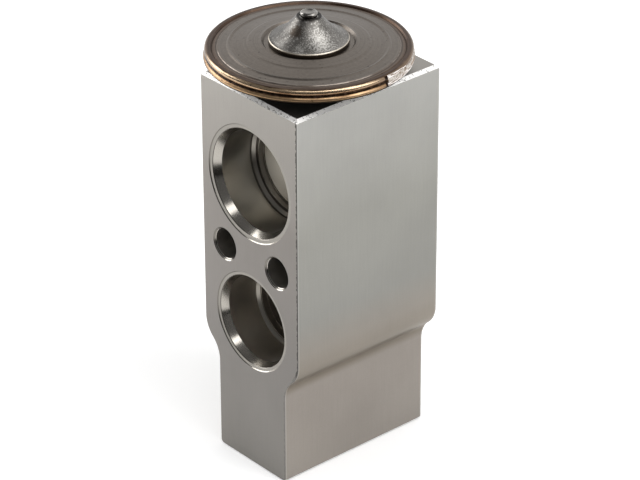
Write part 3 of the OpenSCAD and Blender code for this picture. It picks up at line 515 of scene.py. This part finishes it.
def cone_steel():
    """Turned and plated free-cutting steel: mottled satin grey with bright flecks.

    The spark that sealed it left a brown stain.
    """
    material, tree, place = start_material("cone_steel", Metallic=1.0)
    height = add(tree, "SeparateXYZ", {0: place}).outputs["Z"]
    cloud = add(tree, "TexNoise", {"Vector": place, "Scale": 0.35, "Detail": 4.0})
    speck = add(tree, "TexNoise", {"Vector": place, "Scale": 3.0, "Detail": 5.0, "Roughness": 0.75})
    base = add(tree, "ValToRGB", {0: cloud}, stops=[(0.3, "#5b5855"), (0.5, "#6e6b67"), (0.7, "#807d79")])
    roughness = add(tree, "MapRange", {0: speck, 3: 0.3, 4: 0.5})
    # A painted sheen brightens the right side, and a streak down the front
    painted_sheen = add(tree, "Math", {0: spot(tree, place, SHEEN_SPOT, 1.0, 4.0, 0.13),
                                1: spot(tree, place, SHEEN_STREAK, 0.3, 1.6, 0.16)}, operation="MAXIMUM")
    flecks = add(tree, "Math", {0: speck, 1: painted_sheen}, operation="ADD")
    flecks = add(tree, "MapRange", {0: flecks, 1: 0.53, 2: 0.66})
    stain = add(tree, "VectorMath", {0: place, 1: SPARK}, operation="DISTANCE")
    stain = add(tree, "Math", {0: speck, 1: 2.2, 2: stain}, operation="MULTIPLY_ADD")
    stain = add(tree, "MapRange", {0: stain, 1: 2.1, 2: 2.8, 3: 0.75, 4: 0.0})
    colour, roughness = paint(tree, base, roughness, (
        (flecks, 0.65, "#dbd8d2", None), (stain, 1.0, "#4a3f35", None)))
    # One side is darkened as painted shade
    side_shade = spot(tree, place, SHADED_SIDE, 2.0, 6.0, 0.62, 1.0)
    colour = add(tree, "VectorMath", {0: colour, "Scale": side_shade}, operation="SCALE")
    # A dark ring round the pin is painted shade. The wall is darkened as painted shade, and the edge above it
    # carries a painted highlight
    scorch = spot(tree, place, (0.0, 0.0, cone_high.z), 2.5, 2.8, 0.9)
    wall_top = cone_low.z + CONE_WALL_TOP
    wall = add(tree, "Math", {0: height, 1: wall_top - 0.2}, operation="LESS_THAN")
    edge = add(tree, "Math", {0: height, 1: wall_top, 2: 0.13}, operation="COMPARE")
    colour, roughness = paint(tree, colour, roughness, (
        (scorch, 1.0, "#171412", None), (wall, 1.0, "#4d443b", None), (edge, 0.6, "#efe4d2", None)))
    finish_material(tree, colour, roughness, speck, 0.35, 0.03)
    return material


def turned_metal(name, tone, roughness, contrast, pitch_mm):
    """Metal turned or drawn to size: the tone of its alloy, slight mottling, and rings round its axis."""
    material, tree, place = start_material(name, Metallic=1.0)
    height = add(tree, "SeparateXYZ", {0: place}).outputs["Z"]
    mottle = add(tree, "TexNoise", {"Vector": place, "Scale": 0.9, "Detail": 5.0})
    colour = shaded(tree, linear(tone)[:3], (mottle, contrast))
    rough = add(tree, "MapRange", {0: mottle, 1: NOISE_LOW, 2: NOISE_HIGH, 3: roughness * 0.8,
                                   4: roughness * 1.25})
    finish_material(tree, colour, rough, waves(tree, height, pitch_mm), 0.15, 0.01)
    return material


def moulded_rubber():
    """Moulded seal rubber: near black, with a soft sheen and a faint dusting."""
    material, tree, place = start_material("seal_rubber", Metallic=0.0, IOR=1.52)
    dust = add(tree, "TexNoise", {"Vector": place, "Scale": 2.0, "Detail": 6.0})
    colour = add(tree, "ValToRGB", {0: dust}, stops=[(0.35, "#17181a"), (0.75, "#2b2c2e")])
    roughness = add(tree, "MapRange", {0: dust, 3: 0.4, 4: 0.6})
    finish_material(tree, colour, roughness, dust, 0.1, 0.01)
    return material


def washer_plastic():
    """Sliding washer of white fluoropolymer: waxy and finely skived."""
    material, tree, place = start_material("washer_plastic", Metallic=0.0, IOR=1.35)
    skive = add(tree, "TexNoise", {"Vector": place, "Scale": 3.0, "Detail": 4.0})
    colour = add(tree, "ValToRGB", {0: skive}, stops=[(0.3, "#dedcd4"), (0.7, "#efeee8")])
    roughness = add(tree, "MapRange", {0: skive, 3: 0.35, 4: 0.5})
    finish_material(tree, colour, roughness, skive, 0.1, 0.01)
    return material


def select_points(mesh_object, test):
    """In edit mode, selects only the points whose place in millimetres passes the test."""
    bpy.ops.mesh.select_all(action="DESELECT")
    bpy.ops.object.mode_set(mode="OBJECT")
    for vertex in mesh_object.data.vertices:
        vertex.select = test(vertex.co / MM)
    bpy.ops.object.mode_set(mode="EDIT")


def hand_over(piece, name, body, node, material, smooth_angle=30.0):
    """Smooths a finished piece, puts its place in its mesh, and lets it stand for its CAD node."""
    bpy.ops.object.select_all(action="DESELECT")
    piece.select_set(True)
    bpy.context.view_layer.objects.active = piece
    bpy.ops.object.transform_apply(location=True, rotation=True, scale=True)
    bpy.ops.object.shade_smooth_by_angle(angle=math.radians(smooth_angle))
    piece.name = piece.data.name = name
    piece.data.materials.clear()
    piece.data.materials.append(material)
    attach(piece, body)
    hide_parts(node)


def rippled_weld():
    """The rim's weld bead: a ripple every 1.1 mm, and a fuller stretch where it runs out over its start."""
    bead_r, proud, swell = 0.45, 0.02, 0.17
    ripples, points_per_ripple = 120, 4
    segments = ripples * points_per_ripple
    bpy.ops.object.select_all(action="DESELECT")
    bpy.ops.mesh.primitive_torus_add(
        location=(0.0, 0.0, WELD_Z * MM), major_segments=segments, minor_segments=14,
        major_radius=(UPPER_LIP_R - bead_r + proud) * MM, minor_radius=bead_r * MM)
    bead = bpy.context.object
    bpy.ops.object.transform_apply(location=True, rotation=True, scale=True)
    bpy.ops.object.mode_set(mode="EDIT")

    def turn(point):
        return math.degrees(math.atan2(point.y, point.x))

    for offset, sink in ((0, 0.05), (1, 0.02), (3, 0.02)):
        select_points(bead, lambda point: round(turn(point) * segments / 360) % points_per_ripple == offset)
        bpy.ops.transform.shrink_fatten(value=-sink * MM)
    select_points(bead, lambda point: SILVER_START < turn(point) < SILVER_END)
    bpy.ops.transform.shrink_fatten(value=swell * MM)
    bpy.ops.object.mode_set(mode="OBJECT")
    hand_over(bead, "rippled_weld", "root", "rim_weld", welded_bead(), 50.0)


def dimpled_pin():
    """The pin that closes the cone: the welding tip has squashed its head, and left a dimple and a collar."""
    stem_r, head_r = 1.05, 1.8
    floor_z = cone_high.z - 0.35
    stem_z = pin_low.z
    bpy.ops.object.select_all(action="DESELECT")
    bpy.ops.mesh.primitive_cylinder_add(
        vertices=64, radius=stem_r * MM, depth=(floor_z - stem_z) * MM,
        location=(0.0, 0.0, (floor_z + stem_z) / 2 * MM))
    pin = bpy.context.object
    bpy.ops.object.transform_apply(location=True, rotation=True, scale=True)
    bpy.ops.object.mode_set(mode="EDIT")
    bpy.ops.mesh.select_mode(type="VERT")
    select_points(pin, lambda point: point.z > floor_z - 0.01)
    # Each step raises the top ring and sets its new radius: collar, waist, head, rim, lip and dimple
    radius = stem_r
    for rise, new_r in ((0.0, 2.1), (0.16, 2.05), (0.08, 1.75), (0.2, head_r - 0.05), (0.28, head_r),
                        (0.28, head_r - 0.04), (0.18, head_r - 0.2), (0.1, head_r - 0.42),
                        (-0.04, head_r - 0.55), (-0.2, head_r - 0.85), (-0.12, head_r - 1.25),
                        (-0.03, 0.12)):
        bpy.ops.mesh.extrude_region_move(TRANSFORM_OT_translate={"value": (0.0, 0.0, rise * MM)})
        bpy.ops.transform.resize(value=(new_r / radius, new_r / radius, 1.0),
                                 center_override=(0.0, 0.0, floor_z * MM))
        radius = new_r
    # The welding tip came down a little out of true
    select_points(pin, lambda point: point.z > floor_z + 0.6)
    bpy.ops.transform.rotate(value=math.radians(1.6), orient_axis="Y",
                             center_override=(0.0, 0.0, (floor_z + 0.9) * MM))
    bpy.ops.mesh.select_all(action="SELECT")
    bpy.ops.mesh.normals_make_consistent(inside=False)
    bpy.ops.object.mode_set(mode="OBJECT")
    hand_over(pin, "dimpled_pin", "root", "sealing_pin",
              turned_metal("sealing_pin_steel", "#8d8a86", 0.2, 0.25, 0.4), 40.0)


def coil(base_z, pitch, turns, coil_r, wire_r):
    """A stretch of coiled wire with open ends, from where it starts, its rise in a turn and its turns."""
    bpy.ops.object.select_all(action="DESELECT")
    bpy.ops.mesh.primitive_circle_add(
        vertices=16, radius=wire_r * MM, location=(coil_r * MM, 0.0, base_z * MM),
        rotation=(math.pi / 2, 0.0, 0.0))
    wire = bpy.context.object
    bpy.ops.object.transform_apply(location=True, rotation=True, scale=True)
    wound = wire.modifiers.new("wound", "SCREW")
    wound.axis = "Z"
    wound.angle = 2 * math.pi
    wound.screw_offset = pitch * MM
    wound.iterations = turns
    wound.steps = wound.render_steps = 40
    bpy.ops.object.modifier_apply(modifier="wound")
    return wire


def wound_spring():
    """The superheat spring: round drawn wire, one closed turn at each end, both ends ground flat."""
    wire_r = 0.6
    coil_r = (spring_high.x - spring_low.x) / 2 - wire_r
    end_z = 0.12
    end_pitch = 1.25
    length = spring_high.z - spring_low.z
    active_turns = 4
    pitch = (length - 2 * (end_z + end_pitch)) / active_turns
    stretches = []
    base_z = spring_low.z + end_z
    for rise, turns in ((end_pitch, 1), (pitch, active_turns), (end_pitch, 1)):
        stretches.append(coil(base_z, rise, turns, coil_r, wire_r))
        base_z += rise * turns
    bpy.ops.object.select_all(action="DESELECT")
    for stretch in stretches:
        stretch.select_set(True)
    spring = bpy.context.view_layer.objects.active = stretches[0]
    bpy.ops.object.join()
    bpy.ops.object.mode_set(mode="EDIT")
    bpy.ops.mesh.select_all(action="SELECT")
    bpy.ops.mesh.remove_doubles(threshold=0.001 * MM)
    bpy.ops.mesh.fill_holes(sides=0)
    # Both ends are ground flat
    for level, keep_above in ((spring_low.z, True), (spring_high.z, False)):
        bpy.ops.mesh.select_all(action="SELECT")
        bpy.ops.mesh.bisect(plane_co=(0.0, 0.0, level * MM), plane_no=(0.0, 0.0, 1.0), use_fill=True,
                            clear_inner=keep_above, clear_outer=not keep_above)
    bpy.ops.mesh.select_all(action="SELECT")
    bpy.ops.mesh.normals_make_consistent(inside=False)
    bpy.ops.object.mode_set(mode="OBJECT")
    hand_over(spring, "wound_spring", "spring_carrier", "superheat_spring",
              turned_metal("spring_wire", "#8d9094", 0.3, 0.15, 0.9))
    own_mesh(spring)


def heading(azimuth, elevation):
    """The direction at an azimuth, from the front face towards +X, and an elevation, both in degrees."""
    a, e = math.radians(azimuth), math.radians(elevation)
    return Vector((math.sin(a) * math.cos(e), -math.cos(a) * math.cos(e), math.sin(e)))


def place_in_studio(name, data, azimuth, elevation, distance, roll=0.0):
    """Puts a camera or a lamp at a distance in metres from what it looks at."""
    back = heading(azimuth, elevation)
    made = bpy.data.objects.new(name, data)
    bpy.context.scene.collection.objects.link(made)
    made.location = CAMERA_AIM + back * distance
    made.rotation_mode = "QUATERNION"
    made.rotation_quaternion = ((-back).to_track_quat("-Z", "Y")
                                @ Quaternion((0.0, 0.0, 1.0), math.radians(roll)))
    return made


def camera():
    """The photograph's camera, found by fitting the outline of the block and the head."""
    data = bpy.data.cameras.new("photo_view")
    data.lens = CAMERA_LENS
    data.clip_start, data.clip_end = 0.01, 10.0
    bpy.context.scene.camera = place_in_studio("photo_view", data, CAMERA_AZIMUTH, CAMERA_ELEVATION,
                                               CAMERA_DISTANCE, CAMERA_ROLL)


def softbox(name, azimuth, elevation, width, height, power):
    """A soft rectangular lamp, with its width and height in metres."""
    data = bpy.data.lights.new(name, "AREA")
    data.shape = "RECTANGLE"
    data.size, data.size_y = width, height
    data.energy = power
    place_in_studio(name, data, azimuth, elevation, LAMP_DISTANCE).visible_camera = False


def backdrop_level(tree, camera_level):
    """The light path, and the level at which a backdrop glows: for the camera, and 1 in metal and glass."""
    path = add(tree, "LightPath").outputs
    level = add(tree, "Math", {0: path["Is Camera Ray"], 1: camera_level, 2: path["Is Glossy Ray"]},
                operation="MULTIPLY_ADD")
    return path, add(tree, "Math", {0: level, 1: path["Is Transmission Ray"]}, operation="ADD")


def studio():
    """A white backdrop, which the metal shows too, with a plain level of light on the valve."""
    world = bpy.data.worlds.new("studio")
    bpy.context.scene.world = world
    world.use_nodes = True
    tree = world.node_tree
    tree.nodes.clear()
    path, shown = backdrop_level(tree, 1.0)
    # The room in front of the valve is dim, and only the metal sees it
    towards = add(tree, "TexCoord").outputs["Generated"]
    room = add(tree, "VectorMath", {0: towards, 1: heading(20.0, 15.0)}, operation="DOT_PRODUCT")
    room = add(tree, "MapRange", {0: room.outputs["Value"], 1: -0.2, 2: 0.1, 3: 0.0, 4: ROOM_DIMNESS})
    room = add(tree, "Math", {0: room, 1: path["Is Glossy Ray"]}, operation="MULTIPLY")
    clear = add(tree, "Math", {0: 1.0, 1: room}, operation="SUBTRACT")
    fill = add(tree, "Background", {"Color": "#ffffff", "Strength": FILL_LEVEL})
    white = add(tree, "Background", {"Color": "#ffffff", "Strength": clear})
    add(tree, "OutputWorld", {"Surface": add(tree, "MixShader", {0: shown, 1: fill, 2: white})})


def floor():
    """A plain white floor that keeps the valve's soft shadow. Metal sees it dark past the paper's edge."""
    bpy.ops.object.select_all(action="DESELECT")
    bpy.ops.mesh.primitive_plane_add(size=4.0, location=(0.0, 0.0, -0.0002))
    made = bpy.context.object
    made.name = "floor"
    material = bpy.data.materials.new("floor_paper")
    material.use_nodes = True
    tree = material.node_tree
    tree.nodes.clear()
    path, shown = backdrop_level(tree, 1.5)
    paper = add(tree, "BsdfDiffuse", {"Color": "#f4f4f4"})
    place = add(tree, "TexCoord").outputs["Object"]
    # The glow makes up for the light that falls off away from the valve
    away = add(tree, "VectorMath", {0: place}, operation="LENGTH")
    glow = add(tree, "MapRange", {0: away, 1: 0.1, 2: 0.7, 3: 0.15, 4: 0.4})
    glow = add(tree, "Math", {0: shown, 1: glow}, operation="MULTIPLY")
    glow = add(tree, "Emission", {"Color": "#ffffff", "Strength": glow})
    lit = add(tree, "AddShader", {0: paper, 1: glow})
    forward = add(tree, "VectorMath", {0: place, 1: heading(CAMERA_AZIMUTH, 0.0)}, operation="DOT_PRODUCT")
    past = add(tree, "MapRange", {0: forward.outputs["Value"], 1: PAPER_EDGE, 2: PAPER_EDGE_END})
    past = add(tree, "Math", {0: past, 1: path["Is Glossy Ray"]}, operation="MULTIPLY")
    dark = add(tree, "BsdfDiffuse", {"Color": "#1c1b1a"})
    add(tree, "OutputMaterial", {"Surface": add(tree, "MixShader", {0: past, 1: lit, 2: dark})})
    made.data.materials.append(material)


bpy.context.scene.view_settings.view_transform = "Standard"
camera()
studio()
floor()
for lamp in (("front_softbox", 58.0, 58.0, 0.5, 0.2, 0.88),
             ("right_softbox", 108.0, 43.0, 0.45, 0.78, 3.4),
             ("left_softbox", -71.0, 25.0, 0.45, 0.62, 3.0)):
    softbox(*lamp)

put_on(machined_aluminium(), "valve_body")
put_on(tinted_steel("tinted_steel", "#6d665f", "#97775a", "#cab193", 0.26, 1.0), "upper_case")
put_on(tinted_steel("tinted_rim_steel", "#8f8c87", "#96785a", "#c6a580", 0.36, 0.6), "lower_case")
put_on(cone_steel(), "charge_cone")
# Pieces of turned or drawn metal: the finish's name, tone, roughness, contrast and ring spacing
for finish, nodes in (
        (("diaphragm_steel", "#b0afad", 0.25, 0.08, 0.5), ("diaphragm",)),
        (("pad_steel", "#a3a19d", 0.3, 0.1, 0.4), ("diaphragm_pad",)),
        (("rod_aluminium", "#c9c8c4", 0.25, 0.08, 0.35), ("sensing_rod",)),
        (("pin_steel", "#b5b6b8", 0.2, 0.06, 0.3), ("push_pin",)),
        (("retainer_steel", "#a9aaab", 0.28, 0.1, 0.6), ("seal_retainer", "damper_ring")),
        (("ball_steel", "#d5d5d6", 0.08, 0.04, 0.8), ("valve_ball",)),
        (("cradle_brass", "#c9a862", 0.25, 0.1, 0.35), ("ball_cradle",)),
        (("screw_brass", "#c9a862", 0.27, 0.1, 0.4), ("adjusting_screw",))):
    put_on(turned_metal(*finish), *nodes)
put_on(moulded_rubber(), "head_seal", "rod_seal", "adjuster_seal")
put_on(washer_plastic(), "seal_washer")
rippled_weld()
dimpled_pin()
wound_spring()
